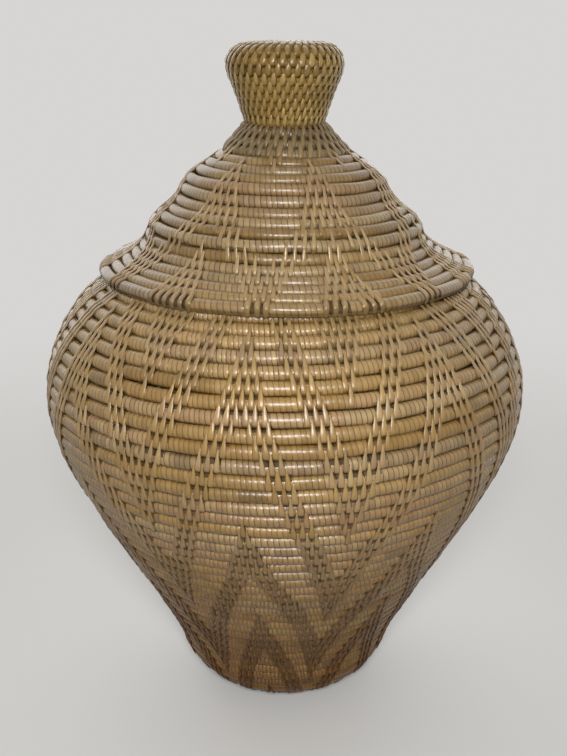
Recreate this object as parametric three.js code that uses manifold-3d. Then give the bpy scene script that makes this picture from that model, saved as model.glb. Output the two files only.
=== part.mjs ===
// Lidded coil basket: bound rods wound in one spiral from the base to a raised mouth collar,
// and a second spiral that makes the tiered lid and its flared knob.
// Millimetres, +Z up, standing on z = 0, with the front towards -Y.
import * as THREE from 'three';
import { mergeVertices } from 'three/addons/utils/BufferGeometryUtils.js';
import Module from 'manifold-3d';

const wasm = await Module();
wasm.setup();

// Bound rods: spacing of the rows along the wall, thickness through the wall, and the space left between
// rows, at the splices and in the eye at the start of a winding
const basketPitch = 5.85;
const basketThickness = 5.8;
const lidPitch = 5.2;
const lidThickness = 5;
const knobPitch = 3.6;
const knobThickness = 3.6;
const rowGap = 0.5;
const spliceGap = 0.35;
const eyeGap = 0.3;

// Basket: radii and heights to the middle of the wound rod
const baseRadius = 28.5;
const baseRise = 2;
const footFlatDepth = 0.5;
const heelBulgeDepth = 0.5;
const heelRadius = 46.5;
const heelHeight = 14.5;
const flankRadius = 55.2;
const flankHeight = 36;
const bellyRadius = 107;
const bellyHeight = 155;
const bellyFootInset = 4.6;
const bellyFootDrop = 25;
const shoulderInset = 5.5;
const shoulderRise = 22.5;
const collarRadius = 75.5;
const collarHeight = 206.8;
const collarFootSpread = 5.5;
const collarFootDrop = 4.5;
const neckInSpread = 13;
const neckInDrop = 10.3;

// Lid: radii to the middle of the rod, and heights above the middle of the brim row.
// The brim reaches past the collar.
const brimOverhang = 8;
const flangeRadius = 66.8;
const flangeRise = 8.5;
const lowerStepRadius = 60.5;
const lowerStepRise = 14.5;
const lowerTierRadius = 57.8;
const lowerTierRise = 21.5;
const upperStepRadius = 47;
const upperStepRise = 31;
const upperTierRadius = 41;
const upperTierRise = 40.5;
const crownRadius = 26;
const crownRise = 51;
const neckRadius = 15.2;
const neckRise = 62.5;

// Knob: heights above the start of the knob at the neck
const knobStart = 1.2;
const knobRadius = 23.5;
const knobFlareRise = 24.5;
const knobEdgeRadius = 20.5;
const knobEdgeRise = 29.6;
const knobDomeRise = 1.8;

// Fit of the lid, rod counts and the tapered tails at the ends of the windings
const seatClearance = 0.3;
const baseTurns = 5;
const collarTurns = 2;
const wallRods = 13;
const brimTurns = 2;
const lidRods = 4;
const knobTopTurns = 5;
const knobRods = 2;
const tailTurns = 0.2;
const tailTaper = 0.4;
const tailAngle = Math.PI / 2;

// Facets: steps in a full turn, fewer where the turn is small, and corners of the rod's section
const turnSteps = 20;
const smallTurnSteps = 10;
const smallTurnRadius = 21;
const corners = 5;

const caneColours = [0xb98b50, 0xc0945c, 0xae8049, 0xb68c66];

// A smooth outline of the middle of the rod, with x as radius and y as height
function outline(points) {
  const stations = points.map(([radius, height]) => new THREE.Vector3(radius, height, 0));
  const curve = new THREE.CatmullRomCurve3(stations);
  curve.arcLengthDivisions = 800;
  return curve;
}

// A point beside the outline at one turn, so far out from the middle of the rod
function besideOutline({ curve, turns }, turn, out) {
  const middle = curve.getPointAt(turn / turns);
  const up = curve.getTangentAt(turn / turns);
  return middle.add(new THREE.Vector3(up.y * out, -up.x * out, 0));
}

// The room that a row has between its neighbours, which is less where the outline bends inwards
function rowRoom(winding, turn) {
  const { turns, thickness, pitch } = winding;
  const widest = Math.cos(2 * Math.PI / corners) * thickness / 2;
  const here = besideOutline(winding, turn, widest);
  const neighbours = [turn - 1, turn + 1].filter((other) => other >= 0 && other <= turns);
  const rooms = neighbours.map((other) => here.distanceTo(besideOutline(winding, other, widest)));
  return Math.min(pitch, ...rooms);
}

// One cross-section of the rod, in the upright plane through the basket's axis at the given angle
function section(winding, turn, angleShift = 0) {
  const { curve, turns, thickness, endAngle, tail } = winding;
  const middle = curve.getPointAt(turn / turns);
  const up = curve.getTangentAt(turn / turns);
  const tailShare = tail ? THREE.MathUtils.clamp((turns - turn) / tailTurns, 0, 1) : 1;
  const scale = THREE.MathUtils.lerp(tailTaper, 1, tailShare);
  const halfHeight = (rowRoom(winding, turn) - rowGap) / 2;
  const cornerReach = Math.sin(2 * Math.PI / corners);
  const ring = [];
  for (let corner = 0; corner < corners; corner += 1) {
    const angle = corner * 2 * Math.PI / corners;
    const out = scale * Math.cos(angle) * thickness / 2;
    const along = scale * Math.sin(angle) * halfHeight / cornerReach - (1 - scale) * halfHeight;
    ring.push([middle.x + up.y * out + up.x * along, middle.y - up.x * out + up.y * along]);
  }
  const angle = endAngle + 2 * Math.PI * (turn - turns) + angleShift;
  return { turn, angle, radius: middle.x, ring };
}

// A rod wound along an outline, at an even spacing from row to row, up to the given angle round the axis
function wind(points, pitch, thickness, endAngle, tail) {
  const curve = outline(points);
  const turns = Math.round(curve.getLength() / pitch * turnSteps) / turnSteps;
  return { curve, turns, thickness, pitch: curve.getLength() / turns, endAngle, tail };
}

// The sections of one rod, from one turn of the winding to another, with half a splice gap left at each end
function rodSections(winding, from, to) {
  const sections = [];
  const lastStep = Math.round(to * turnSteps);
  let step = Math.round(from * turnSteps);
  while (step <= lastStep) {
    const station = section(winding, step / turnSteps);
    sections.push(station);
    const stride = station.radius < smallTurnRadius ? turnSteps / smallTurnSteps : 1;
    step = step < lastStep ? Math.min(step + stride, lastStep) : lastStep + 1;
  }
  const first = sections[0];
  const last = sections[sections.length - 1];
  sections[0] = section(winding, first.turn, spliceGap / 2 / first.radius);
  sections[sections.length - 1] = section(winding, last.turn, -spliceGap / 2 / last.radius);
  return sections;
}

function rodPoints(sections) {
  return sections.map(({ angle, ring }) => ring.map(([radius, height]) => (
    new THREE.Vector3(radius * Math.cos(angle), radius * Math.sin(angle), height)
  )));
}

// One unbroken closed tube through a rod's sections
function rodGeometry(sections) {
  const points = rodPoints(sections).flat();
  const faces = [];
  for (let row = 0; row + 1 < sections.length; row += 1) {
    for (let corner = 0; corner < corners; corner += 1) {
      const here = row * corners + corner;
      const beside = row * corners + (corner + 1) % corners;
      faces.push(here, here + corners, beside, beside, here + corners, beside + corners);
    }
  }
  const end = (sections.length - 1) * corners;
  for (let corner = 1; corner + 1 < corners; corner += 1) {
    faces.push(0, corner, corner + 1, end, end + corner + 1, end + corner);
  }
  const geometry = new THREE.BufferGeometry().setFromPoints(points);
  geometry.setIndex(faces);
  return geometry;
}

// The least space between neighbouring turns of one rod, measured between the corners of its sections
function leastGap(sections) {
  const rings = rodPoints(sections);
  let least = Infinity;
  rings.forEach((ring, first) => {
    rings.forEach((other, second) => {
      if (sections[second].turn - sections[first].turn < 0.5) return;
      ring.forEach((a) => other.forEach((b) => {
        least = Math.min(least, a.distanceTo(b));
      }));
    });
  });
  return least;
}

function toSolid(geometry) {
  const bare = geometry.clone();
  bare.deleteAttribute('normal');
  bare.deleteAttribute('uv');
  const merged = mergeVertices(bare);
  return new wasm.Manifold(new wasm.Mesh({
    numProp: 3,
    vertProperties: new Float32Array(merged.attributes.position.array),
    triVerts: new Uint32Array(merged.index.array),
  }));
}

function fromSolid(solid) {
  const mesh = solid.getMesh();
  const geometry = new THREE.BufferGeometry();
  geometry.setAttribute('position', new THREE.BufferAttribute(new Float32Array(mesh.vertProperties), 3));
  geometry.setIndex(new THREE.BufferAttribute(new Uint32Array(mesh.triVerts), 1));
  return geometry;
}

// The rows that carry the basket are worn flat where they stand
function cutFoot(geometry) {
  geometry.computeBoundingBox();
  if (geometry.boundingBox.min.z >= 0) return geometry;
  const ground = new THREE.BoxGeometry(4 * bellyRadius, 4 * bellyRadius, bellyRadius);
  ground.translate(0, 0, -bellyRadius / 2);
  return fromSolid(toSolid(geometry).subtract(toSolid(ground)));
}

let rodCount = 0;
function addRod(group, name, sections) {
  const geometry = cutFoot(rodGeometry(sections));
  geometry.computeVertexNormals();
  const color = caneColours[rodCount % caneColours.length];
  rodCount += 1;
  const cane = new THREE.MeshStandardMaterial({ color, roughness: 0.45, metalness: 0 });
  const rod = new THREE.Mesh(geometry, cane);
  rod.name = name;
  group.add(rod);
  console.log(`${name}: least gap between turns ${leastGap(sections).toFixed(2)} mm`);
}

// Cuts a stretch of a winding into rods of equal length, each spliced end to end with the next
function addRods(group, name, winding, from, to, count) {
  const steps = Math.round((to - from) * turnSteps);
  const lengths = [0];
  for (let step = 1; step <= steps; step += 1) {
    const { radius } = section(winding, from + step / turnSteps);
    lengths.push(lengths[step - 1] + radius);
  }
  let start = from;
  for (let rod = 1; rod <= count; rod += 1) {
    const reach = lengths[steps] * rod / count;
    const stop = from + lengths.findIndex((length) => length >= reach - 1e-6) / turnSteps;
    const label = count > 1 ? `${name}_${String(rod).padStart(2, '0')}` : name;
    addRod(group, label, rodSections(winding, start, stop));
    start = stop;
  }
}

function heightsAt(ring, radius) {
  const heights = [];
  ring.forEach(([r0, z0], index) => {
    const [r1, z1] = ring[(index + 1) % ring.length];
    if ((r0 - radius) * (r1 - radius) > 0 || r0 === r1) return;
    heights.push(THREE.MathUtils.mapLinear(radius, r0, r1, z0, z1));
  });
  return heights;
}

// How far the lid can sink, at height 0, before a row of it meets a row of the basket
function freeDrop(lidRings, basketRings) {
  let least = Infinity;
  lidRings.forEach((upper) => basketRings.forEach((lower) => {
    [...upper.ring, ...lower.ring].forEach(([radius]) => {
      const above = heightsAt(upper.ring, radius);
      const below = heightsAt(lower.ring, radius);
      if (above.length && below.length) least = Math.min(least, Math.min(...above) - Math.max(...below));
    });
  }));
  return least;
}

// The height of the brim row at which the lid rests on the basket with the seat clearance
function seatHeight(lidWinding, basketWinding) {
  const rowsTested = 5;
  let drop = Infinity;
  for (let step = 0; step < turnSteps; step += 1) {
    const lidRings = [];
    const basketRings = [];
    for (let row = 0; row < rowsTested; row += 1) {
      const back = row + step / turnSteps;
      lidRings.push(section(lidWinding, lidWinding.turns - back));
      basketRings.push(section(basketWinding, basketWinding.turns - back));
    }
    drop = Math.min(drop, freeDrop(lidRings, basketRings));
  }
  return seatClearance - drop;
}

const eyeRadius = basketPitch / 2 + eyeGap;
const standHeight = basketThickness / 2 - footFlatDepth;
const basketOutline = [
  [eyeRadius, standHeight + baseRise],
  [baseRadius / 2, standHeight + baseRise / 2],
  [baseRadius - basketPitch, standHeight],
  [baseRadius, standHeight],
  [(baseRadius + heelRadius) / 2 + heelBulgeDepth, standHeight + (heelHeight - standHeight) / 3],
  [heelRadius, heelHeight],
  [flankRadius, flankHeight],
  [bellyRadius - bellyFootInset, bellyHeight - bellyFootDrop],
  [bellyRadius, bellyHeight],
  [bellyRadius - shoulderInset, bellyHeight + shoulderRise],
  [collarRadius + neckInSpread, collarHeight - neckInDrop],
  [collarRadius + collarFootSpread, collarHeight - collarFootDrop],
  [collarRadius, collarHeight],
];

const lidOutline = [
  [neckRadius, neckRise],
  [crownRadius, crownRise],
  [upperTierRadius, upperTierRise],
  [upperStepRadius, upperStepRise],
  [lowerTierRadius, lowerTierRise],
  [lowerStepRadius, lowerStepRise],
  [flangeRadius, flangeRise],
  [collarRadius + brimOverhang, 0],
];

const knobEye = knobPitch / 2 + eyeGap;
const knobOutline = [
  [knobEye, knobEdgeRise + knobDomeRise],
  [knobEdgeRadius / 2, knobEdgeRise + knobDomeRise * 3 / 4],
  [knobEdgeRadius, knobEdgeRise],
  [knobRadius, knobFlareRise],
  [(knobRadius + neckRadius) / 2, knobFlareRise / 2],
  [neckRadius, 0],
];

const group = new THREE.Group();

const basketWinding = wind(basketOutline, basketPitch, basketThickness, tailAngle, true);
const collarFrom = basketWinding.turns - collarTurns;
addRods(group, 'base_coil', basketWinding, 0, baseTurns, 1);
addRods(group, 'wall_coil', basketWinding, baseTurns, collarFrom, wallRods);
addRods(group, 'collar_coil', basketWinding, collarFrom, basketWinding.turns, 1);

const lidWinding = wind(lidOutline, lidPitch, lidThickness, tailAngle, true);
const lid = new THREE.Group();
const brimFrom = lidWinding.turns - brimTurns;
lid.position.z = seatHeight(lidWinding, basketWinding);
addRods(lid, 'lid_coil', lidWinding, 0, brimFrom, lidRods);
addRods(lid, 'brim_coil', lidWinding, brimFrom, lidWinding.turns, 1);
group.add(lid);

const lidStartAngle = tailAngle - 2 * Math.PI * lidWinding.turns;
const knobWinding = wind(knobOutline, knobPitch, knobThickness, lidStartAngle, false);
const knob = new THREE.Group();
knob.position.z = neckRise + knobStart;
addRods(knob, 'knob_top_coil', knobWinding, 0, knobTopTurns, 1);
addRods(knob, 'knob_coil', knobWinding, knobTopTurns, knobWinding.turns, knobRods);
lid.add(knob);

export default group;
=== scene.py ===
import math

import bpy
import numpy as np
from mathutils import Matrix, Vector


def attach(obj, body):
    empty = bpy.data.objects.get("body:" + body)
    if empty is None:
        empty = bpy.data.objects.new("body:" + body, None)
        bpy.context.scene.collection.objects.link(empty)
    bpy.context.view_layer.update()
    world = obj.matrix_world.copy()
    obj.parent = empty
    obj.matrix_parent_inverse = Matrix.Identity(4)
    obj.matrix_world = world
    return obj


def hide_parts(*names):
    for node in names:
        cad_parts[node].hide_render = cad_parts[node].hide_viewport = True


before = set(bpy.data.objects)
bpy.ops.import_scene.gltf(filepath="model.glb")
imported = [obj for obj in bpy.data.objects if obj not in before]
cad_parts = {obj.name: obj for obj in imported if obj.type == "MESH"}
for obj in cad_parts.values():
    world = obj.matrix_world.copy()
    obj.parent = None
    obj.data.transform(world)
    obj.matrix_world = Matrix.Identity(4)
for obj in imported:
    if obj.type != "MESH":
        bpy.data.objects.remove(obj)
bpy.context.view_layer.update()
print("frame loaded,", len(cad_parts), "coil solids")

mm = 0.001
fullTurn = 2 * math.pi
tiny = 1e-12  # keeps a division from meeting 0
pieces = []


def clearSelection():
    for thing in bpy.context.selected_objects:
        thing.select_set(False)


def useOnly(thing):
    clearSelection()
    thing.select_set(True)
    bpy.context.view_layer.objects.active = thing


def srgb(red, green, blue):  # a colour as it looks on screen, 0 to 255, in Blender's linear values
    shares = [value / 255 for value in (red, green, blue)]
    return tuple(s / 12.92 if s <= 0.04045 else ((s + 0.055) / 1.055) ** 2.4 for s in shares) + (1.0,)


def ease(share):  # from 0 to 1, gently at both ends
    return share * share * (3 - 2 * share)


# Camera at the photograph's height and tilt
viewpoint = {"place": (-0.0005, -0.4154, 0.3011), "tilt": 19.53, "lens": 43.95, "sensor": 36, "nearest": 0.01}
bpy.ops.object.camera_add(location=viewpoint["place"], rotation=(math.radians(90 - viewpoint["tilt"]), 0, 0))
camera = bpy.context.object
camera.name = "camera"
camera.data.lens = viewpoint["lens"]
camera.data.sensor_width = viewpoint["sensor"]
camera.data.clip_start = viewpoint["nearest"]
bpy.context.scene.camera = camera


# Shader maths: a wire is a socket that can be used in sums
class Wire:
    def __init__(self, finish, socket):
        self.finish = finish
        self.socket = socket

    def beside(self, output):  # another output of the same node
        return Wire(self.finish, self.socket.node.outputs[output])

    def maths(self, operation, first, second=0.0):
        return self.finish.node("ShaderNodeMath", {"operation": operation}, {0: first, 1: second})

    def __add__(self, other):
        return self.maths("ADD", self, other)

    def __radd__(self, other):
        return self.maths("ADD", other, self)

    def __sub__(self, other):
        return self.maths("SUBTRACT", self, other)

    def __rsub__(self, other):
        return self.maths("SUBTRACT", other, self)

    def __mul__(self, other):
        return self.maths("MULTIPLY", self, other)

    def __rmul__(self, other):
        return self.maths("MULTIPLY", other, self)

    def __abs__(self):
        return self.maths("ABSOLUTE", self)


class Finish:
    def __init__(self, name):
        self.material = bpy.data.materials.new(name)
        self.material.use_nodes = True
        self.tree = self.material.node_tree
        self.shader = self.tree.nodes["Principled BSDF"]

    def node(self, kind, settings, sockets, output=0):
        made = self.tree.nodes.new(kind)
        for key, value in settings.items():
            if key == "stops":
                while len(made.color_ramp.elements) < len(value):
                    made.color_ramp.elements.new(0.5)
                for element, (place, colour) in zip(made.color_ramp.elements, value):
                    element.position = place
                    element.color = colour
            else:
                setattr(made, key, value)
        for key, value in sockets.items():
            self.feed(made.inputs[key], value)
        return Wire(self, made.outputs[output])

    def feed(self, socket, value):
        if isinstance(value, Wire):
            self.tree.links.new(value.socket, socket)
        else:
            socket.default_value = value

    def attribute(self, name):
        return self.node("ShaderNodeAttribute", {"attribute_name": name}, {}, "Fac")

    def noise(self, place, settings):
        return self.node("ShaderNodeTexNoise", {}, {"Vector": place, **settings})

    def blend(self, factor, first, second, how="MIX"):  # the mix node's colours are its inputs 6 and 7 and output 2
        settings = {"data_type": "RGBA", "blend_type": how}
        return self.node("ShaderNodeMix", settings, {0: factor, 6: first, 7: second}, 2)

    def between(self, value, low, high):  # 0 below low, 1 above high, eased in between
        settings = {"interpolation_type": "SMOOTHSTEP"}
        return self.node("ShaderNodeMapRange", settings, {0: value, 1: low, 2: high})

    def set(self, **sockets):
        for key, value in sockets.items():
            self.feed(self.shader.inputs[key.replace("_", " ")], value)


# Split cane. Each strip has its own tone, fibres run along it, and dirt and painted shade sit along its edges
caneGrain = {
    "fibre": {"Scale": 1.0, "Detail": 2.0},
    "blotch": {"Scale": 420.0, "Detail": 3.0},
    "age": {"Scale": 23.0, "Detail": 4.0},
    "alongStrip": 1.6, "nextStrip": 1.37,  # how the fibres change along a strip, and from one strip to the next
    "fibreTone": 0.32, "blotchTone": 0.28, "ageTone": 0.2,
    "dirtAndShadeByTone": (0.55, 0.6), "dirtAndShadeWarmth": 0.5,  # golden strips lie closer than pale ones and show less dirt and painted shade at their edges
    "footWearAndShadeHeight": 0.16, "footWearAndShadeUneven": 0.03,
    "fibreHeight": 0.7, "blotchHeight": 0.3, "bumpDistance": 0.0003,
    "bareShade": (0.35, 0.6),  # deep between the stitches, where no polish reaches
    "blotchRough": 0.25, "edgeRough": 0.2, "bareRough": 0.45, "creviceRough": 0.2,
    "coatRough": 0.33, "specular": 0.15,
}


def swing(value, amount):  # about 1, up and down by half the amount
    return 1 - amount / 2 + value * amount


def caneFinish(name, look):
    grain = caneGrain
    cane = Finish(name)
    tone = cane.attribute("caneTone")
    shade = cane.attribute("caneShade")
    number = cane.attribute("caneNumber")
    polish = cane.attribute("canePolish")
    strip = cane.node("ShaderNodeUVMap", {"uv_map": "strip"}, {})
    across = cane.node("ShaderNodeSeparateXYZ", {}, {0: strip})
    along = across.beside("Y")
    place = cane.node("ShaderNodeTexCoord", {}, {}, "Object")
    level = cane.node("ShaderNodeSeparateXYZ", {}, {0: place}, "Z")

    fibrePlace = {0: across * look["fibres"], 1: along * grain["alongStrip"], 2: number * grain["nextStrip"]}
    fibre = cane.noise(cane.node("ShaderNodeCombineXYZ", {}, fibrePlace), grain["fibre"])
    blotch = cane.noise(place, grain["blotch"])
    age = cane.noise(place, grain["age"])
    edge = cane.between(abs(across - 0.5), *look["edge"])
    bare = 1 - cane.between(shade, *grain["bareShade"])
    # darker and warmer towards the foot: wear, and painted shade
    footWearAndShade = 1 - cane.between(level + (age - 0.5) * grain["footWearAndShadeUneven"], 0.0, grain["footWearAndShadeHeight"])

    # the level paints a whole finish darker as shade
    dim = shade * look["level"]
    for pattern, amount in ((fibre, "fibreTone"), (blotch, "blotchTone"), (age, "ageTone")):
        dim = dim * swing(pattern, grain[amount])
    golden, paler = grain["dirtAndShadeByTone"]
    # dirt and painted shade along the edges of each wrap, in the grooves between wraps
    dim = dim * (1 - edge * look["edgeDirtAndShade"] * (golden + tone * paler))
    # painted shade down between the rows, and at the ends and underside of each stitch
    dim = dim * (1 - (1 - polish) * look["paintedCreviceShade"])
    dimColour = cane.node("ShaderNodeCombineColor", {}, {0: dim, 1: dim, 2: dim})
    warm = cane.blend(edge * grain["dirtAndShadeWarmth"], (1, 1, 1, 1), look["dirtAndShadeTint"])
    colour = cane.node("ShaderNodeValToRGB", {"stops": look["tones"]}, {0: tone})
    colour = cane.blend(1.0, colour, dimColour, "MULTIPLY")
    colour = cane.blend(1.0, colour, warm, "MULTIPLY")
    colour = cane.blend(footWearAndShade, colour, cane.blend(1.0, colour, look["footWearAndShadeTint"], "MULTIPLY"))

    height = fibre * grain["fibreHeight"] + blotch * grain["blotchHeight"]
    relief = {"Strength": look["bump"], "Distance": grain["bumpDistance"], "Height": height}
    rough = look["roughness"] + (blotch - 0.5) * grain["blotchRough"] + edge * grain["edgeRough"]
    rough = rough + bare * grain["bareRough"] + (1 - polish) * grain["creviceRough"]
    cane.set(Base_Color=colour, Roughness=rough, Normal=cane.node("ShaderNodeBump", {}, relief))
    gloss = look["coat"] * (1 - bare) * (1 - footWearAndShade * look["footDull"]) * polish
    cane.set(Coat_Weight=gloss, Coat_Roughness=grain["coatRough"], Specular_IOR_Level=grain["specular"])
    return cane.material


caneTones = [
    (0.0, srgb(135, 105, 57)),
    (0.2, srgb(146, 117, 69)),
    (0.42, srgb(156, 128, 82)),
    (0.62, srgb(149, 118, 80)),
    (0.82, srgb(164, 139, 96)),
    (1.0, srgb(144, 117, 82)),
]
knobTones = [
    (0.0, srgb(132, 104, 46)),
    (0.4, srgb(146, 117, 56)),
    (0.8, srgb(158, 130, 68)),
    (1.0, srgb(172, 146, 88)),
]
knobRodTones = [
    (0.0, srgb(122, 92, 42)),
    (1.0, srgb(138, 106, 52)),
]
wrapLook = {
    "tones": caneTones, "level": 1.0, "fibres": 9.0, "bump": 0.3,
    "edge": (0.37, 0.5), "edgeDirtAndShade": 0.75, "dirtAndShadeTint": srgb(190, 140, 100), "paintedCreviceShade": 0.45,
    "roughness": 0.4, "coat": 0.82,
    "footWearAndShadeTint": srgb(196, 168, 98), "footDull": 0.3,
}
stitchLook = {
    **wrapLook, "fibres": 7.0, "edge": (0.4, 0.5), "edgeDirtAndShade": 0.4,
    "footWearAndShadeTint": srgb(184, 142, 74), "footDull": 0.85,
}
knobRodLook = {**wrapLook, "tones": knobRodTones, "roughness": 0.6, "coat": 0.0, "paintedCreviceShade": 0.3}
basketCane = caneFinish("basketCane", wrapLook)
# the lid's finishes are the basket's, painted darker as shade
lidCane = caneFinish("lidCane", {**wrapLook, "level": 0.8})
knobCane = caneFinish("knobCane", knobRodLook)
stitchCane = caneFinish("stitchCane", stitchLook)
lidStitchCane = caneFinish("lidStitchCane", {**stitchLook, "level": 0.87})
# the neck's stitches are painted darker as shade
neckStitchCane = caneFinish("neckStitchCane", {**stitchLook, "level": 0.53, "coat": 0.3})
# the knob's stitches are painted darker as shade
knobStitchCane = caneFinish("knobStitchCane", {**stitchLook, "tones": knobTones, "level": 0.85, "coat": 1.0})
print("finishes made")


# Windings: the smooth line that the rods follow, through points of radius and height in millimetres
def smoothLine(points, steps=240):
    points = [np.array(point, float) for point in points]
    ends = [2 * points[0] - points[1], *points, 2 * points[-1] - points[-2]]
    share = np.linspace(0, 1, steps, endpoint=False)[:, None]
    line = []
    for a, b, c, d in zip(ends, ends[1:], ends[2:], ends[3:]):
        g0, g1, g2 = (np.linalg.norm(q - p) ** 0.5 for p, q in ((a, b), (b, c), (c, d)))
        leave = ((b - a) / g0 - (c - a) / (g0 + g1) + (c - b) / g1) * g1
        arrive = ((c - b) / g1 - (d - b) / (g1 + g2) + (d - c) / g2) * g1
        second = 3 * c - 3 * b - 2 * leave - arrive
        third = 2 * b - 2 * c + leave + arrive
        line.append(b + leave * share + second * share**2 + third * share**3)
    return np.concatenate([*line, points[-1][None]])


windingShape = {
    "steps": 20,  # a winding and its rods end on a twentieth of a turn
    "samples": 120,  # points of each turn, to measure along the rod
    "beside": 0.02,  # turns to each side, to see which way the wall goes
    "runs": 600, "runLengths": (40, 190), "runTones": 1.1, "runShades": 0.05,  # one strip binds a few dozen turns
    "waves": (29, 43, 71, 113), "outward": 0.7,  # wavelengths in millimetres along the rod
    "tailTurns": 0.2, "tailEnd": 0.4,
}


class Winding:
    def __init__(self, shape):
        self.shape = shape
        self.line = smoothLine(shape["outline"]) * mm
        self.line[:, 1] += shape["lift"] * mm
        self.reach = np.concatenate([[0], np.cumsum(np.linalg.norm(np.diff(self.line, axis=0), axis=1))])
        steps = windingShape["steps"]
        self.turns = round(self.reach[-1] / (shape["pitch"] * mm) * steps) / steps
        self.pitch = self.reach[-1] / self.turns
        self.endAngle = shape["endAngle"]
        self.rod = shape["rod"] * mm  # radius of a rod with its cane
        runs = windingShape["runs"]
        rng = np.random.default_rng(shape["seed"])
        self.waves = rng.uniform(0, fullTurn, (2, len(windingShape["waves"])))
        self.runEnds = np.cumsum(rng.uniform(*windingShape["runLengths"], runs)) * mm
        self.runTones = rng.beta(windingShape["runTones"], windingShape["runTones"], runs + 1)
        self.runShades = rng.normal(1, windingShape["runShades"], runs + 1)
        self.steps = np.linspace(0, self.turns, int(self.turns * windingShape["samples"]) + 1)
        ways = np.linalg.norm(np.diff(self.point(self.steps), axis=0), axis=1)
        self.lengths = np.concatenate([[0], np.cumsum(ways)])

    def middle(self, turn):  # radius and height of the middle of the rod
        reach = np.clip(turn, 0, self.turns) * self.pitch
        return np.stack([np.interp(reach, self.reach, self.line[:, i]) for i in (0, 1)], -1)

    def angle(self, turn):
        return self.endAngle + fullTurn * (np.asarray(turn) - self.turns)

    def point(self, turn):
        flat = self.middle(turn)
        angle = self.angle(turn)
        return np.stack([flat[..., 0] * np.cos(angle), flat[..., 0] * np.sin(angle), flat[..., 1]], -1)

    def way(self, turn):  # the direction of the wall from one row to the next
        ahead = self.middle(np.minimum(turn + windingShape["beside"], self.turns))
        behind = self.middle(np.maximum(turn - windingShape["beside"], 0))
        return (ahead - behind) / np.linalg.norm(ahead - behind, axis=-1)[..., None]

    def facing(self, turn):  # outwards from the wall
        way = self.way(turn)
        return np.stack([way[..., 1], -way[..., 0]], -1) * self.shape["upward"]

    def laid(self, turn):  # the middle of the rod as the hand laid it, a little uneven
        reach = self.length(turn)[..., None] / (np.array(windingShape["waves"]) * mm) * fullTurn
        up, out = (np.sin(reach + phase).sum(-1) * self.rod * self.shape["uneven"] for phase in self.waves)
        moved = self.middle(turn) + self.way(turn) * up[..., None]
        return moved + self.facing(turn) * windingShape["outward"] * out[..., None]

    def length(self, turn):  # how far along the rod a turn is
        return np.interp(turn, self.steps, self.lengths)

    def strip(self, length):  # tone and shade of the strip that binds the rod here
        run = np.searchsorted(self.runEnds, length)
        return self.runTones[run], self.runShades[run]

    def turnAt(self, length):
        return np.interp(length, self.lengths, self.steps)

    def taper(self, turn):  # the last rod of a winding ends in a thin tail
        share = np.clip((self.turns - np.asarray(turn)) / windingShape["tailTurns"], 0, 1)
        end = windingShape["tailEnd"] if self.shape["tail"] else 1.0
        return end + (1 - end) * share

    def turnNear(self, angle, turn):  # the turn at this angle that is nearest to the given one
        exact = self.turns + (angle - self.endAngle) / fullTurn
        return exact + np.round(turn - exact)

    def slim(self, radius):  # 1 low on the wall, where the strips are slimmer and lie nearly straight
        low, high = self.shape["slim"]
        return np.clip((high - radius / mm) / (high - low), 0, 1)

    def rods(self, name, start, stop, count):  # equal lengths, spliced end to end
        steps = windingShape["steps"]
        radii = self.middle(start + np.arange(1, int(round((stop - start) * steps)) + 1) / steps)[:, 0]
        lengths = np.concatenate([[0], np.cumsum(radii)])
        ends = [lengths[-1] * i / count - 1e-9 for i in range(count + 1)]
        cuts = [start + int(np.argmax(lengths >= end)) / steps for end in ends]
        names = [name] if count == 1 else [f"{name}_{i + 1:02d}" for i in range(count)]
        return list(zip(names, cuts, cuts[1:]))


lidLift = 208.233  # height of the lid's last row as it lies on the collar
knobLift = lidLift + 63.7
plainShape = {
    "lift": 0, "endAngle": math.pi / 2, "tail": True,
    "swell": (0, 0),  # how much higher the first row is at its top, and the last row at its foot
    "slim": (0, 1),  # radii below which the strips are quite slim, and above which they aren't
    "bareEdge": False,
    "dark": 1.0,  # share of the shade that falls under stitches
    "paintedStartShade": (1, 0),  # turn up to which the cane is painted darker as shade, and how much
}
basketShape = {
    **plainShape, "upward": 1, "seed": 11, "uneven": 0.03, "slim": (70, 106),
    "outline": [
        (3.225, 4.4), (14.25, 3.4), (22.65, 2.4), (28.5, 2.4), (38, 6.4333), (46.5, 14.5), (55.2, 36), (102.4, 130),
        (107, 155), (101.5, 177.5), (88.5, 196.5), (81, 202.3), (75.5, 206.8),
    ],
    "pitch": 5.85, "rod": 2.92, "wrap": (1.1, 0.0103),  # a wrap's least width, and what the radius adds to it
}
lidShape = {
    **plainShape, "upward": -1, "seed": 12, "uneven": 0.035, "lift": lidLift,
    "outline": [(15.2, 62.5), (26, 51), (41, 40.5), (47, 31), (57.8, 21.5), (60.5, 14.5), (66.8, 8.5), (83.5, 0)],
    "pitch": 5.2, "rod": 2.6, "wrap": (1.75, 0.009), "swell": (0.45, 0), "bareEdge": True, "paintedStartShade": (3.6, 0.42),
}
basketWinding = Winding(basketShape)
lidWinding = Winding(lidShape)
knobShape = {
    **plainShape, "upward": -1, "seed": 13, "uneven": 0.02, "lift": knobLift, "tail": False,
    "outline": [(2.1, 31.4), (10.25, 30.95), (20.5, 29.6), (23.5, 24.5), (19.35, 12.25), (15.2, 0)],
    "pitch": 3.6, "rod": 1.8, "wrap": (1.8, 0.0), "swell": (0, 0.4), "dark": 0.4,
    "endAngle": math.pi / 2 - fullTurn * lidWinding.turns,  # the knob ends where the lid starts
}
knobWinding = Winding(knobShape)
print("windings:", basketWinding.turns, lidWinding.turns, knobWinding.turns, "turns")


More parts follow.
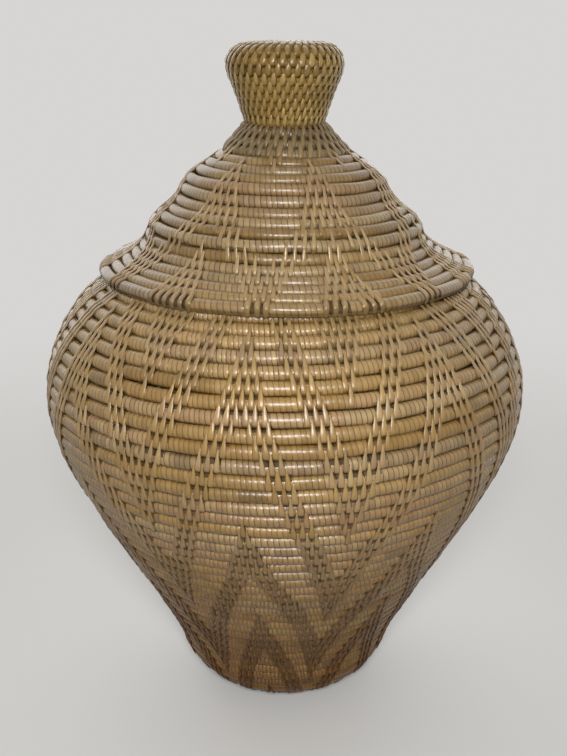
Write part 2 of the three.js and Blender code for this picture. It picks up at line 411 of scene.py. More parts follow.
# One long stitch, shaped once: it comes out on the crest of the upper row and goes under the lower one
longStitch = {
    "stations": [1.16, 0.98, 0.76, 0.54, 0.36, 0.2, 0.05, -0.2, -0.36, -0.46, -0.52],  # in rows, from the lower row
    "heights": [0.9, 1.06, 1.08, 1.09, 1.12, 1.15, 1.16, 1.12, 0.98, 0.66, -0.1],  # in rod radii
    "widths": [0.34, 0.46, 0.58, 0.72, 0.88, 1.0, 1.06, 1.06, 1.0, 0.92, 0.84],
    "open": [0, 0, 0, 0, 0, 0, 0, 0.06, 0.12, 0.16, 0.18],  # more where no stitch of the next row comes between
    "crown": 0.15, "flat": 0.3, "slant": 0.0,
}
lidStitch = {
    "stations": [1.3, 1.08, 0.84, 0.58, 0.36, 0.18, 0.0, -0.22, -0.38, -0.48, -0.54],
    "heights": [0.86, 1.05, 1.08, 1.04, 1.06, 1.08, 1.08, 1.03, 0.9, 0.62, -0.1],
    "widths": [0.5, 0.64, 0.74, 0.82, 0.92, 1.0, 1.0, 0.98, 0.94, 0.9, 0.86],
    "open": [0, 0, 0, 0, 0, 0, 0, 0.06, 0.1, 0.12, 0.14],
    "crown": 0.14, "flat": 0.26, "slant": 0.0,
}
brimStitch = {  # on the last row of the lid: a bold round strand over the edge
    **lidStitch,
    "heights": [0.86, 1.05, 1.08, 1.06, 1.11, 1.18, 1.2, 1.14, 0.97, 0.64, -0.1],
    "widths": [0.5, 0.66, 0.82, 1.02, 1.22, 1.36, 1.42, 1.4, 1.32, 1.24, 1.16],
    "open": [0] * 11,
    "crown": 0.28, "flat": 0.15,
}
knobStitch = {
    "stations": [1.16, 0.96, 0.74, 0.52, 0.3, 0.1, -0.08, -0.26, -0.42, -0.53, -0.6],
    "heights": [0.82, 1.02, 1.14, 1.22, 1.26, 1.25, 1.19, 1.09, 0.93, 0.7, 0.25],
    "widths": [0.42, 0.64, 0.82, 0.94, 1.0, 1.0, 0.98, 0.92, 0.82, 0.7, 0.58],
    "open": [0] * 11,
    "crown": 0.22, "flat": 0.24, "slant": -0.14,
}


# Where the long stitches go. Each catches the row above it, and they make zigzags round the basket
zigzagShape = {"leg": 3, "peak": 6}  # stitches across a leg, and rows in which a peak grows before it parts
crowded = 0.6  # of the gap from stitch to stitch


def evenPlaces(count):
    return [i - (count - 1) / 2 for i in range(count)]


def zigzagPlaces(after, before, half):  # rows since the peak, rows until the valley, half a repeat in stitches
    leg, peak = zigzagShape["leg"], zigzagShape["peak"]
    if after < 0 or before < 0:
        return []
    if after < peak:  # a peak grows by one stitch a row
        return [(x, x / leg) for x in evenPlaces(after + 1)]
    if before < peak:  # two legs meet and shrink by one stitch a row
        return [(half + x, -x / leg) for x in evenPlaces(before + 1)]
    inner = (leg + 1) / 2
    reach = inner + (half - 2 * inner) * (after - peak) / max(1, after + before - 2 * peak)
    return [(side * (reach + x), side) for side in (-1, 1) for x in evenPlaces(leg)]


def stitchGap(look, radius):  # from one stitch to the next, in metres
    return (look["gap"][0] + look["gap"][1] * radius / mm) * mm


def zigzagStitches(winding, look, firstRow, lastRow):
    stitches = []
    repeatAngle = fullTurn / look["repeats"]
    for repeat in range(look["repeats"]):
        centre = look["centre"] + repeatAngle * repeat
        for row in range(firstRow, lastRow + 1):
            turn = float(winding.turnNear(centre, winding.turns - row if look["fromEnd"] else row))
            if not 0 <= turn <= winding.turns:
                continue
            level = winding.turns - turn if look["fromEnd"] else turn
            radius = winding.middle(turn)[0]
            gap = stitchGap(look, radius)
            half = repeatAngle / 2 * radius / gap
            for peak, valley in look["zigzags"]:
                for x, lean in zigzagPlaces(math.floor(level - peak), math.floor(valley - level), half):
                    stitches.append((float(winding.turnNear(centre + x * gap / radius, turn)), lean, gap))
    return stitches


def closeStitches(winding, look, start, stop):  # a row of stitches side by side, each row set between the last
    stitches = []
    turn = start
    while turn < stop:
        radius = winding.middle(turn)[0]
        around = fullTurn * radius
        count = min(look["most"], max(look["fewest"], round(around / stitchGap(look, radius)))) + 0.5
        stitches.append((turn, 0.0, around / count))
        turn += 1 / count
    return stitches


def inOrder(winding, stitches):  # sorted along the rod, without those that crowd the one before
    kept = []
    for turn, lean, gap in sorted(stitches):
        if not kept or winding.length(turn) - winding.length(kept[-1][0]) > crowded * gap:
            kept.append((turn, lean, gap))
    return kept


wallZigzags = {
    "repeats": 8, "centre": math.radians(-98.8), "fromEnd": True, "gap": (2.05, 0.0135), "fill": 0.67,
    "fewest": 4, "most": math.inf, "stitch": longStitch, "last": longStitch,
    # the rows of each peak and valley
    "zigzags": [(-18, 7.2), (-8.3, 16.9), (2.3, 26.6), (15.4, 36), (26.3, 45.5), (37.5, 56)],
}
lidZigzags = {
    "repeats": 7, "centre": math.radians(-71.5), "fromEnd": False, "gap": (3.55, 0.0), "fill": 0.52,
    "stitch": lidStitch, "last": brimStitch,
    "zigzags": [(-10, 5.4), (3.9, 20), (11.7, 28)],
}
knobRows = {
    "gap": (2.7, 0.0), "fill": 0.66, "fewest": 4, "most": 38,
    "stitch": knobStitch, "last": knobStitch,
}
neckRows = {**knobRows, "fill": 0.6}
closeBase = (1.2, 6.0)  # the turns of the base that are stitched close, with zigzags from there on
neckUntil = 3.4
knobFrom = 1.5
lidFirstRow = 4
wallStitches = zigzagStitches(basketWinding, wallZigzags, 1, int(basketWinding.turns - closeBase[1]))
wallStitches += closeStitches(basketWinding, wallZigzags, *closeBase)
lidStitches = zigzagStitches(lidWinding, lidZigzags, lidFirstRow, math.ceil(lidWinding.turns))
neckStitches = closeStitches(lidWinding, neckRows, 0.0, neckUntil)
knobStitches = closeStitches(knobWinding, knobRows, knobFrom, knobWinding.turns)
wallStitches = inOrder(basketWinding, wallStitches)
lidStitches = inOrder(lidWinding, [stitch for stitch in lidStitches if stitch[0] > neckUntil])
print("long stitches:", len(wallStitches), len(lidStitches), len(neckStitches), len(knobStitches))


stripLook = {
    "tone": 0.05, "shade": 0.045, "limits": (0.4, 1.2),
    "stainEvery": 160, "stainWraps": (1, 6), "stainShade": (0.6, 0.8),  # a few wraps in a row that have gone dark
}


def stripTones(winding, lengths, rng):
    count = len(lengths)
    tone, shade = winding.strip(lengths)
    tone = np.clip(tone + rng.normal(0, stripLook["tone"], count), 0, 1)
    shade = shade * rng.normal(1, stripLook["shade"], count)
    for stain in range(count // stripLook["stainEvery"]):
        at = int(rng.integers(count))
        shade[at:at + int(rng.integers(*stripLook["stainWraps"]))] *= rng.uniform(*stripLook["stainShade"])
    return tone, np.clip(shade, *stripLook["limits"])


def pointsOf(mesh):
    points = np.zeros(len(mesh.vertices) * 3)
    mesh.vertices.foreach_get("co", points)
    return points.reshape(-1, 3)


def movePoints(mesh, points):
    mesh.vertices.foreach_set("co", points.ravel())


def restOnFloor(mesh, level):  # the rows that carry the basket are worn flat
    points = pointsOf(mesh)
    points[:, 2] = np.maximum(points[:, 2], level)
    movePoints(mesh, points)


def giveNumbers(mesh, name, values, where="FACE"):
    layer = mesh.attributes.new(name, "FLOAT", where)
    layer.data.foreach_set("value", np.asarray(values, np.float32))


def giveMap(mesh, name, places):
    layer = mesh.uv_layers.new(name=name)
    layer.data.foreach_set("uv", np.asarray(places, np.float32).ravel())


# A map for baking, with a cell for each strip, so many times as tall as it is wide
def giveBakeMap(mesh, count, tall, margin, cell, across, along):
    columns = max(1, math.ceil(math.sqrt(count * tall)))
    rows = math.ceil(count / columns)
    u = (cell % columns + margin[0] + (1 - 2 * margin[0]) * across) / columns
    v = (cell // columns + margin[1] + (1 - 2 * margin[1]) * along) / rows
    giveMap(mesh, "OFBake", np.stack([u, v], -1))


def smoothFaces(thing, angle):  # keeps each strip flat across, with a narrow break at its edges
    useOnly(thing)
    bpy.ops.object.shade_smooth_by_angle(angle=math.radians(angle))
    even = thing.modifiers.new("even", "WEIGHTED_NORMAL")
    even.weight = 80
    even.keep_sharp = True
    bpy.ops.object.modifier_apply(modifier="even")


# A rod with its cane: the strip's section is spun along the rod, then the rod is laid round the basket
wrapShape = {
    "fewest": 3, "sides": 14, "bevel": 0.2,
    "groove": 0.062, "slimGroove": 0.5,  # slim settings act low on the wall
    "square": 2.6, "slimSquare": 0.2,  # 2 is a round section, and more is squarer
    "pinch": 0.2, "swellTurns": 1.2,
    "overlap": 0.4,  # millimetres into the next rod
    "waves": ((8.3, 0.1), (21, 0.28)), "phase": 6.28,  # the strip lies closer in some places than in others
    "evenEnds": 20,  # millimetres at a rod's ends where the waves fade
    "weld": 1e-6, "smooth": 60, "rest": 0.0002, "cellTall": 8, "cellMargin": (0.06, 0.02),
}
# The rod bare under long stitches is pinched in, and its colour is painted dark there as shade
underStitch = {
    "reach": 0.36, "fade": 0.12, "together": 1.3, "edgeGap": 1.4,  # in gaps from stitch to stitch
    "above": 0.25, "below": 0.4, "rim": 0.3,  # in rod radii from the middle
    "shade": 0.7, "slimPaintedShade": 0.4, "startShadeFade": 0.8,
}
crestPolishAndShade = {"start": 0.1, "slimStart": 0.15, "over": 0.32, "slimOver": 0.25}
routeShape = {"past": 0.05, "fewest": 12, "stations": 90}  # turns past the end, least points, points in a turn


class BoundRod:  # a rod laid out straight along x, and what its winding says of each point on it
    def __init__(self, winding, start, stop, caught, look):
        self.winding = winding
        self.caught = caught
        self.look = look
        self.first = winding.length(start)
        self.long = winding.length(stop) - self.first
        radius = winding.middle((start + stop) / 2)[0]
        least, byRadius = winding.shape["wrap"]
        self.turns = max(wrapShape["fewest"], round(self.long / (least * mm + byRadius * radius)))
        self.width = self.long / self.turns
        self.groove = wrapShape["groove"] * (1 + wrapShape["slimGroove"] * winding.slim(radius)) * winding.rod

    def turn(self, points):
        return self.winding.turnAt(self.first + points[:, 0])

    def radius(self, points):
        return self.winding.middle(self.turn(points))[:, 0]

    def slim(self, points):
        return self.winding.slim(self.radius(points))

    def section(self, points):  # the wall's outward direction, then outwards and upwards from the middle of the rod
        facing = self.winding.facing(self.turn(points))
        out = points[:, 2] * facing[:, 1] - points[:, 1] * facing[:, 0]
        up = points[:, 1] * facing[:, 1] + points[:, 2] * facing[:, 0]
        return facing, out, up

    def covered(self, points, caught, gap):  # 1 between two stitches that lie side by side, and under each
        if len(caught) < 2:
            return np.zeros(len(points))
        at = self.first + points[:, 0]
        index = np.clip(np.searchsorted(caught, at), 1, len(caught) - 1)
        before, after = abs(at - caught[index - 1]), abs(caught[index] - at)
        share = (underStitch["reach"] * gap - np.minimum(before, after)) / (underStitch["fade"] * gap)
        return np.where(before + after < underStitch["together"] * gap, 1.0, ease(np.clip(share, 0, 1)))

    def sunk(self, points):  # 1 where the rod lies bare under long stitches
        facing, out, up = self.section(points)
        gap = stitchGap(self.look, self.radius(points))
        rim = underStitch["rim"]
        high = np.clip(up / self.winding.rod - underStitch["above"], 0, rim) / rim
        low = np.clip(-up / self.winding.rod - underStitch["below"], 0, rim) / rim
        if self.winding.shape["bareEdge"]:  # the last row of the lid shows gaps between its stitches
            atEdge = self.first + points[:, 0] > self.winding.length(self.winding.turns - 1)
            high = np.where(atEdge, 1, high)
            gap = np.where(atEdge, underStitch["edgeGap"] * gap, gap)
        own, fromNext = (self.covered(points, caught, gap) for caught in self.caught)
        return np.where(out > 0, np.maximum(own * high, fromNext * low), 0)

    # painted shade: the rod's colour darkened where it lies bare under long stitches, and on the lid's first turns
    def paintedShade(self, points):
        under = underStitch["shade"] * self.winding.shape["dark"] * self.sunk(points)
        under = under * (1 - underStitch["slimPaintedShade"] * self.slim(points))
        until, paintedStartShade = self.winding.shape["paintedStartShade"]
        return np.maximum(under, paintedStartShade * np.clip((until - self.turn(points)) / underStitch["startShadeFade"], 0, 1))

    def polishAndShade(self, points):  # 0 down between two rows, 1 on the crest; it sets the coat's polish and the painted shade between rows
        facing, out, up = self.section(points)
        slim = self.slim(points)
        lean = abs(out) / (np.hypot(out, up) + tiny)
        share = lean - crestPolishAndShade["start"] - crestPolishAndShade["slimStart"] * slim
        return ease(np.clip(share / (crestPolishAndShade["over"] + crestPolishAndShade["slimOver"] * slim), 0, 1))


def spinStrip(bound):
    radius, width, groove = bound.winding.rod, bound.width, bound.groove
    bevel = wrapShape["bevel"] * width
    clearSelection()
    bpy.ops.mesh.primitive_plane_add(size=width)
    strip = bpy.context.object
    bpy.ops.object.mode_set(mode="EDIT")
    bpy.ops.mesh.select_all(action="SELECT")
    bpy.ops.mesh.merge(type="CENTER")
    bpy.ops.transform.translate(value=(0, radius - groove, 0))
    for x, y in ((bevel, groove), (width - 2 * bevel, 0), (bevel, -groove)):
        bpy.ops.mesh.extrude_region_move(TRANSFORM_OT_translate={"value": (x, y, 0)})
    bpy.ops.object.mode_set(mode="OBJECT")
    spin = strip.modifiers.new("spin", "SCREW")
    spin.axis = "X"
    spin.angle = fullTurn
    spin.screw_offset = width
    spin.steps = wrapShape["sides"]
    spin.render_steps = wrapShape["sides"]
    spin.iterations = bound.turns
    spin.use_merge_vertices = False
    bpy.ops.object.modifier_apply(modifier="spin")
    bpy.ops.object.mode_set(mode="EDIT")
    bpy.ops.mesh.select_all(action="SELECT")
    bpy.ops.mesh.remove_doubles(threshold=wrapShape["weld"])
    bpy.ops.mesh.fill_holes(sides=0)
    bpy.ops.mesh.select_all(action="SELECT")
    bpy.ops.mesh.normals_make_consistent(inside=False)
    bpy.ops.object.mode_set(mode="OBJECT")
    return strip


def markStrip(mesh, bound, seed, tones):
    points = pointsOf(mesh)
    vertexOf = np.zeros(len(mesh.loops), int)
    mesh.loops.foreach_get("vertex_index", vertexOf)
    sizes = np.zeros(len(mesh.polygons), int)
    mesh.polygons.foreach_get("loop_total", sizes)
    centres = np.zeros(len(mesh.polygons) * 3)
    mesh.polygons.foreach_get("center", centres)
    centres = centres.reshape(-1, 3)
    faceOf = np.repeat(np.arange(len(sizes)), sizes)
    corner = points[vertexOf]
    faceAngle = np.arctan2(centres[:, 2], centres[:, 1]) % fullTurn
    cornerAngle = np.arctan2(corner[:, 2], corner[:, 1])
    turned = faceAngle[faceOf] + (cornerAngle - faceAngle[faceOf] + math.pi) % fullTurn - math.pi
    wrap = np.floor(centres[:, 0] / bound.width - faceAngle / fullTurn)
    wrap = np.clip(wrap, -1, bound.turns).astype(int) + 1
    along = np.clip(turned / fullTurn, 0, 1)
    across = np.clip(corner[:, 0] / bound.width - turned / fullTurn - wrap[faceOf] + 1, 0, 1)
    tone, shade = tones
    giveNumbers(mesh, "caneTone", tone[wrap])
    # the strip's own shade, times the painted shade under stitches and at the lid's first turns
    giveNumbers(mesh, "caneShade", shade[wrap] * (1 - bound.paintedShade(centres)))
    giveNumbers(mesh, "caneNumber", wrap + 40 * (seed % 25))  # its own grain for each rod
    giveNumbers(mesh, "canePolish", bound.polishAndShade(points), "POINT")
    giveMap(mesh, "strip", np.stack([across, along], -1))
    count = bound.turns + 2
    giveBakeMap(mesh, count, wrapShape["cellTall"], wrapShape["cellMargin"], wrap[faceOf], across, along)


def shapeRod(mesh, bound, rng):  # squarer than round, pinched under stitches, with a tail where the winding ends
    winding = bound.winding
    points = pointsOf(mesh)
    points[:, 0] *= 1 + wrapShape["overlap"] * mm / bound.long
    fromEnds = np.minimum(points[:, 0], bound.long - points[:, 0])
    share = np.clip(fromEnds / (wrapShape["evenEnds"] * mm), 0, 1)
    for wave, stretch in wrapShape["waves"]:
        phase = rng.uniform(0, wrapShape["phase"])
        points[:, 0] += share * stretch * mm * np.sin(points[:, 0] / (wave * mm) * fullTurn + phase)
    turn = bound.turn(points)
    facing, out, up = bound.section(points)
    size = np.hypot(out, up) + tiny
    square = wrapShape["square"] - wrapShape["slimSquare"] * bound.slim(points)
    fill = ((abs(out) / size) ** square + (abs(up) / size) ** square) ** (-1 / square) * winding.taper(turn)
    firstSwell, lastSwell = winding.shape["swell"]
    top = 1 + firstSwell * np.clip(wrapShape["swellTurns"] - turn, 0, 1)
    foot = 1 + lastSwell * np.clip(turn - winding.turns + wrapShape["swellTurns"], 0, 1)
    pinch = 1 - wrapShape["pinch"] * bound.sunk(points)
    out = out * fill * pinch
    up = up * fill * np.where(up > 0, top, foot)
    points[:, 1] = up * facing[:, 1] - out * facing[:, 0]
    points[:, 2] = out * facing[:, 1] + up * facing[:, 0]
    movePoints(mesh, points)


def routeOf(name, winding, start, stop):  # the line that a rod is bent along
    count = max(routeShape["fewest"], int((stop - start) * routeShape["stations"]))
    stations = np.linspace(start, min(stop + routeShape["past"], winding.turns), count)
    middle = winding.laid(stations)
    middle = middle - winding.way(stations) * ((1 - winding.taper(stations)) * winding.rod)[:, None]
    radius, height = middle.T
    angle = winding.angle(stations)
    route = bpy.data.curves.new(name + "_route", "CURVE")
    route.dimensions = "3D"
    route.twist_mode = "Z_UP"
    spline = route.splines.new("POLY")
    spline.points.add(count - 1)
    line = np.stack([radius * np.cos(angle), radius * np.sin(angle), height, np.ones(count)], -1)
    spline.points.foreach_set("co", line.ravel())
    path = bpy.data.objects.new(name + "_route", route)
    bpy.context.scene.collection.objects.link(path)
    return path


def layRod(name, winding, start, stop, caught, look, body, finish, seed):
    bound = BoundRod(winding, start, stop, caught, look)
    rng = np.random.default_rng(seed)
    rod = spinStrip(bound)
    rod.name = name + "_wraps"
    wrapLengths = bound.first + (np.arange(bound.turns + 2) - 0.5) * bound.width
    markStrip(rod.data, bound, seed, stripTones(winding, wrapLengths, rng))
    shapeRod(rod.data, bound, rng)
    path = routeOf(name, winding, start, stop)
    useOnly(rod)
    bend = rod.modifiers.new("lay", "CURVE")
    bend.object = path
    bend.deform_axis = "POS_X"
    bpy.ops.object.modifier_apply(modifier="lay")
    bpy.data.objects.remove(path)
    restOnFloor(rod.data, wrapShape["rest"])
    smoothFaces(rod, wrapShape["smooth"])
    rod.data.materials.append(finish)
    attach(rod, body)
    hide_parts(name)
    pieces.append(rod)


# The corners of a stitch's section are, in order, top right, right edge, under, left edge and top left
stitchSection = {
    "sides": 5, "edge": 0.5, "under": 0.25,
    "strip": [0.78, 1.0, 0.5, 0.0, 0.22],  # place across the strip
    "bake": [0.5, 0.7, 0.9, 0.1, 0.3], "bakeUnder": 0.0,  # place in its cell of the bake map, cut open below
    "end": (0.9, 0.5, 0.05),  # place and radius of its two ends in that cell
}


def shapeStitch():
    sides = stitchSection["sides"]
    clearSelection()
    bpy.ops.mesh.primitive_circle_add(vertices=sides, radius=1, fill_type="NGON", rotation=(math.pi / 2, 0, 0))
    stitch = bpy.context.object
    bpy.ops.object.transform_apply(location=True, rotation=True, scale=True)
    bpy.ops.object.mode_set(mode="EDIT")
    bpy.ops.mesh.select_all(action="SELECT")
    for ring in range(len(longStitch["stations"]) - 1):
        bpy.ops.mesh.extrude_region_move(TRANSFORM_OT_translate={"value": (0, 1, 0)})
    bpy.ops.mesh.select_all(action="SELECT")
    bpy.ops.mesh.normals_make_consistent(inside=False)
    bpy.ops.object.mode_set(mode="OBJECT")
    mesh = stitch.data
    points = pointsOf(mesh)
    ring = np.round(points[:, 1]).astype(int)
    angle = np.arctan2(points[:, 0], points[:, 2]) % fullTurn
    corner = np.round(angle / (fullTurn / sides)).astype(int) % sides
    order = ring * sides + corner  # points and faces come in the same order in every run
    faces = sorted((order[list(face.vertices)].tolist() for face in mesh.polygons), key=sorted)
    order.sort()
    bpy.data.objects.remove(stitch)
    bpy.data.meshes.remove(mesh)
    return order // sides, order % sides, faces


stitchRing, stitchCorner, stitchFaces = shapeStitch()
print("stitch faces:", len(stitchFaces))


def mapStitch():  # each face corner's place on the strip, and its spot in a cell of the bake map
    sides = stitchSection["sides"]
    endU, endV, endRadius = stitchSection["end"]
    places, spots = [], []
    for face in stitchFaces:
        corners = stitchCorner[face].tolist()
        along = 1 - stitchRing[face] / max(stitchRing)
        if len(face) == sides:  # the two ends
            angles = [i * fullTurn / sides for i in range(sides)]
            places += [(0.5, 0.5)] * sides
            spots += [(endU + endRadius * math.cos(a), endV + endRadius * math.sin(a)) for a in angles]
        else:
            bake = list(stitchSection["bake"])
            if set(corners) == {2, 3}:
                bake[2] = stitchSection["bakeUnder"]
            places += [(stitchSection["strip"][c], v) for c, v in zip(corners, along)]
            spots += [(bake[c], v) for c, v in zip(corners, along)]
    return np.array(places), np.array(spots)


stitchPlaces, stitchSpots = mapStitch()

# Hands polish what stands proud: along a stitch from its tip, and round it from the top right. The same share
# paints shade at the stitch's ends and underside, where it goes under the rows
stitchPolishAndShade = {"rings": [0.6, 0.85, 1, 1, 1, 1, 1, 0.95, 0.75, 0.3, 0], "corners": [1, 0.6, 0.2, 0.6, 1]}
sewing = {
    "nearest": 0.3,  # of the pitch: rows that lie closer take no stitch
    "slimSize": 0.24, "slimEven": 0.6, "shade": 1.05, "slimPaintedShade": 0.32,  # slim settings act low on the wall; the shade settings paint stitches lighter as a sheen, and darker low on the wall as shade
    "lean": 0.1, "pivot": 0.3,
    "sizeUneven": 0.06, "tiltUneven": 0.03, "heightUneven": 0.012,
    "smooth": 70, "rest": 0.0001, "cellTall": 3, "cellMargin": (0.04, 0.02),
}


def sewStitch(winding, stitch, look, everyTurn, rng):  # the points of one stitch, or none if the rows are too near
    turn, lean, gap = stitch
    upward = winding.shape["upward"]
    lower = winding.laid(np.array(turn))
    upper = winding.laid(np.array(np.clip(turn + upward, 0, winding.turns)))
    pitch = np.linalg.norm(upper - lower)
    if pitch < sewing["nearest"] * winding.pitch:
        return None
    up = (upper - lower) / pitch
    out = np.array([up[1], -up[0]])
    following = np.searchsorted(everyTurn, turn - upward - gap / (fullTurn * lower[0]))
    neighbour = everyTurn[following % len(everyTurn)]
    free = abs(neighbour - turn + upward) * fullTurn * lower[0] > gap  # no stitch of the next row comes between
    slim = winding.slim(lower[0])
    shape = look["last" if winding.turns - turn < 1 else "stitch"]
    along, heights, widths, opened = (
        np.array(shape[key])[stitchRing] for key in ("stations", "heights", "widths", "open")
    )
    flat, crown, edge = shape["flat"], shape["crown"], stitchSection["edge"]
    sides = np.array([flat, edge, 0.0, -edge, -flat])[stitchCorner]
    drops = np.array([0, crown, crown + stitchSection["under"], crown, 0])[stitchCorner]
    size = look["fill"] * (1 - sewing["slimSize"] * slim) * gap * rng.normal(1, sewing["sizeUneven"])
    tilt = shape["slant"] + sewing["lean"] * lean + rng.normal(0, sewing["tiltUneven"])
    t = along * pitch
    n = (heights - drops) * winding.rod * rng.normal(1, sewing["heightUneven"])
    x = sides * (widths ** (1 - sewing["slimEven"] * slim) + opened * free) * size
    x = x - tilt * (t - sewing["pivot"] * pitch)
    radial = lower[0] + up[0] * t + out[0] * n
    height = lower[1] + up[1] * t + out[1] * n
    angle = float(winding.angle(turn))
    cosine, sine = math.cos(angle), math.sin(angle)
    return np.column_stack([radial * cosine - x * sine, radial * sine + x * cosine, height])


def sewStitches(name, winding, stitches, look, everyTurn, body, finish, seed):
    rng = np.random.default_rng(seed)
    blocks, kept = [], []
    for stitch in stitches:
        points = sewStitch(winding, stitch, look, everyTurn, rng)
        if points is not None:
            blocks.append(points)
            kept.append(stitch[0])
    count = len(blocks)
    kept = np.array(kept)
    mesh = bpy.data.meshes.new(name)
    faces = [[v + i * len(stitchRing) for v in face] for i in range(count) for face in stitchFaces]
    mesh.from_pydata(np.concatenate(blocks).tolist(), [], faces)
    sewn = bpy.data.objects.new(name, mesh)
    bpy.context.scene.collection.objects.link(sewn)
    restOnFloor(mesh, sewing["rest"])

    giveMap(mesh, "strip", np.tile(stitchPlaces, (count, 1)))
    cell = np.repeat(np.arange(count), len(stitchSpots))
    across, along = np.tile(stitchSpots, (count, 1)).T
    giveBakeMap(mesh, count, sewing["cellTall"], sewing["cellMargin"], cell, across, along)
    tone, shade = stripTones(winding, winding.length(kept), rng)
    # stitches painted a little lighter as a sheen, and darker low on the wall as shade
    shade = shade * (sewing["shade"] - sewing["slimPaintedShade"] * winding.slim(winding.middle(kept)[:, 0]))
    polish = np.array(stitchPolishAndShade["rings"])[stitchRing] * np.array(stitchPolishAndShade["corners"])[stitchCorner]
    giveNumbers(mesh, "caneTone", np.repeat(tone, len(stitchFaces)))
    giveNumbers(mesh, "caneShade", np.repeat(shade, len(stitchFaces)))
    giveNumbers(mesh, "caneNumber", np.repeat(np.arange(count) + 0.5, len(stitchFaces)))
    giveNumbers(mesh, "canePolish", np.tile(polish, count), "POINT")
    smoothFaces(sewn, sewing["smooth"])
    mesh.materials.append(finish)
    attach(sewn, body)
    pieces.append(sewn)


# A set is the ending of its pieces' names, its stitches, their look and their finish
def buildWinding(winding, rods, sets, body, finish, seed):
    turns = np.sort([stitch[0] for ending, stitches, look, sewnFinish in sets for stitch in stitches])
    rowsCaught = (turns, turns + winding.shape["upward"])
    caught = [np.sort(winding.length(np.clip(row, 0, winding.turns))) for row in rowsCaught]
    rodLook = sets[-1][2]
    for index, (name, start, stop) in enumerate(rods):
        layRod(name, winding, start, stop, caught, rodLook, body, finish, seed + index)
        for number, (ending, stitches, look, sewnFinish) in enumerate(sets):
            mine = [stitch for stitch in stitches if start <= stitch[0] < stop]
            if mine:
                everyTurn = np.array([stitch[0] for stitch in stitches])
                ownSeed = seed + 50 * (number + 1) + index
                sewStitches(name + ending, winding, mine, look, everyTurn, body, sewnFinish, ownSeed)
                print("bound", name + ending, len(mine))


endTurns = {"base": 5, "collar": 2, "brim": 2, "knobTop": 5}  # turns of the rods at the ends of the windings
collarFrom = basketWinding.turns - endTurns["collar"]
basketRods = basketWinding.rods("base_coil", 0, endTurns["base"], 1)
basketRods += basketWinding.rods("wall_coil", endTurns["base"], collarFrom, 13)
basketRods += basketWinding.rods("collar_coil", collarFrom, basketWinding.turns, 1)
wallSets = [("_stitches", wallStitches, wallZigzags, stitchCane)]
buildWinding(basketWinding, basketRods, wallSets, "basket", basketCane, 100)

brimFrom = lidWinding.turns - endTurns["brim"]
lidRods = lidWinding.rods("lid_coil", 0, brimFrom, 4)
lidRods += lidWinding.rods("brim_coil", brimFrom, lidWinding.turns, 1)
lidSets = [
    ("_stitches", lidStitches, lidZigzags, lidStitchCane),
    ("_neck_stitches", neckStitches, neckRows, neckStitchCane),
]
buildWinding(lidWinding, lidRods, lidSets, "lid", lidCane, 300)

knobRods = knobWinding.rods("knob_top_coil", 0, endTurns["knobTop"], 1)
knobRods += knobWinding.rods("knob_coil", endTurns["knobTop"], knobWinding.turns, 2)
knobSets = [("_stitches", knobStitches, knobRows, knobStitchCane)]
buildWinding(knobWinding, knobRods, knobSets, "lid", knobCane, 500)


# Pale floor, soft studio light
stageLook = {
    "floor": srgb(236, 235, 232), "bounce": srgb(66, 60, 52), "far": srgb(214, 213, 211),
    "world": (1.0, 0.97, 0.93, 1.0), "worldLevel": 0.075,
    "radius": 9, "roughness": 0.8, "fade": (0.14, 0.7),  # metres from the middle, where the floor turns to backdrop
    "aim": (0, 0, 0.15),
}
clearSelection()
bpy.ops.mesh.primitive_circle_add(vertices=96, radius=stageLook["radius"], fill_type="NGON")
floor = bpy.context.object
floor.name = "floor"
ground = Finish("paleFloor")
spot = ground.node("ShaderNodeTexCoord", {}, {}, "Object")
away = ground.node("ShaderNodeVectorMath", {"operation": "LENGTH"}, {0: spot}, "Value")
rays = ground.node("ShaderNodeLightPath", {}, {}, "Is Camera Ray")
seen = rays + rays.beside("Is Glossy Ray") + rays.beside("Is Transmission Ray")
ground.set(Base_Color=ground.blend(seen, stageLook["bounce"], stageLook["floor"]), Roughness=stageLook["roughness"])
glow = ground.node("ShaderNodeEmission", {}, {0: stageLook["far"], 1: 1.0})
fade = seen * ground.between(away, *stageLook["fade"])
mixed = ground.node("ShaderNodeMixShader", {}, {0: fade, 1: Wire(ground, ground.shader.outputs[0]), 2: glow})
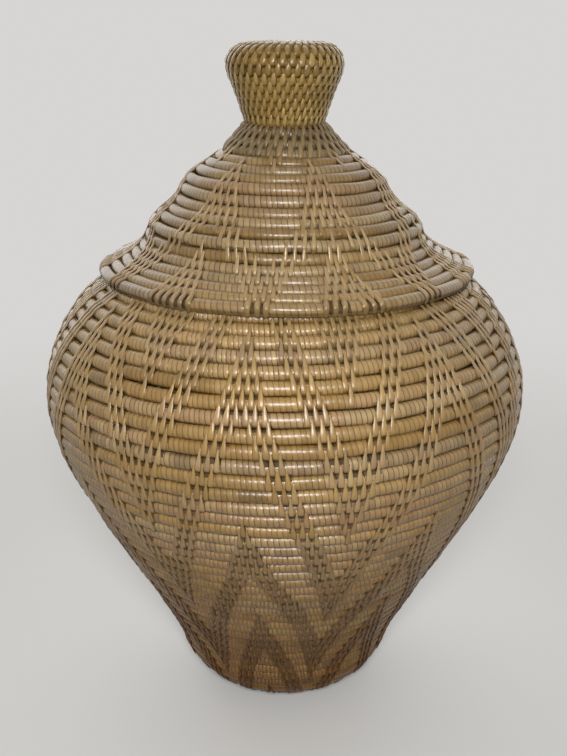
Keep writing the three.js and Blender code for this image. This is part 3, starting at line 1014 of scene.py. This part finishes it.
ground.tree.links.new(mixed.socket, ground.tree.nodes["Material Output"].inputs[0])
floor.data.materials.append(ground.material)

lamps = [  # name, place, size, power in watts, spread in degrees
    ("keyLamp", (0.0, -0.55, 0.42), 0.14, 1.04, 100),
    ("topLamp", (0.1, 0.2, 1.5), 1.2, 1.2, 180),
    ("leftLamp", (-1.2, 0.75, 0.7), 1.2, 2.0, 180),
    ("rightLamp", (1.2, 0.75, 0.7), 1.2, 2.6, 180),
    ("backLamp", (-0.2, 1.4, 0.7), 2.4, 22.0, 180),
]
for name, place, size, power, spread in lamps:
    bpy.ops.object.light_add(type="AREA", location=place)
    lamp = bpy.context.object
    lamp.name = name
    lamp.data.size = size
    lamp.data.energy = power
    lamp.data.spread = math.radians(spread)
    lamp.rotation_euler = (Vector(stageLook["aim"]) - Vector(place)).to_track_quat("-Z", "Y").to_euler()

studio = bpy.data.worlds.new("studio")
bpy.context.scene.world = studio
studio.use_nodes = True
sky = studio.node_tree
ambient = sky.nodes["Background"]
ambient.inputs[0].default_value = stageLook["world"]
ambient.inputs[1].default_value = stageLook["worldLevel"]
backdrop = sky.nodes.new("ShaderNodeBackground")
backdrop.inputs[0].default_value = stageLook["far"]
skyRays = sky.nodes.new("ShaderNodeLightPath")
choice = sky.nodes.new("ShaderNodeMixShader")
seenSky = skyRays.outputs["Is Camera Ray"]
for ray in ("Is Glossy Ray", "Is Transmission Ray"):
    either = sky.nodes.new("ShaderNodeMath")
    either.operation = "ADD"
    sky.links.new(seenSky, either.inputs[0])
    sky.links.new(skyRays.outputs[ray], either.inputs[1])
    seenSky = either.outputs[0]
sky.links.new(seenSky, choice.inputs[0])
sky.links.new(ambient.outputs[0], choice.inputs[1])
sky.links.new(backdrop.outputs[0], choice.inputs[2])
sky.links.new(choice.outputs[0], sky.nodes["World Output"].inputs[0])
bpy.context.scene.view_settings.view_transform = "Standard"

triangles = sum(len(face.vertices) - 2 for piece in pieces for face in piece.data.polygons)
print(len(pieces), "pieces,", triangles, "triangles")
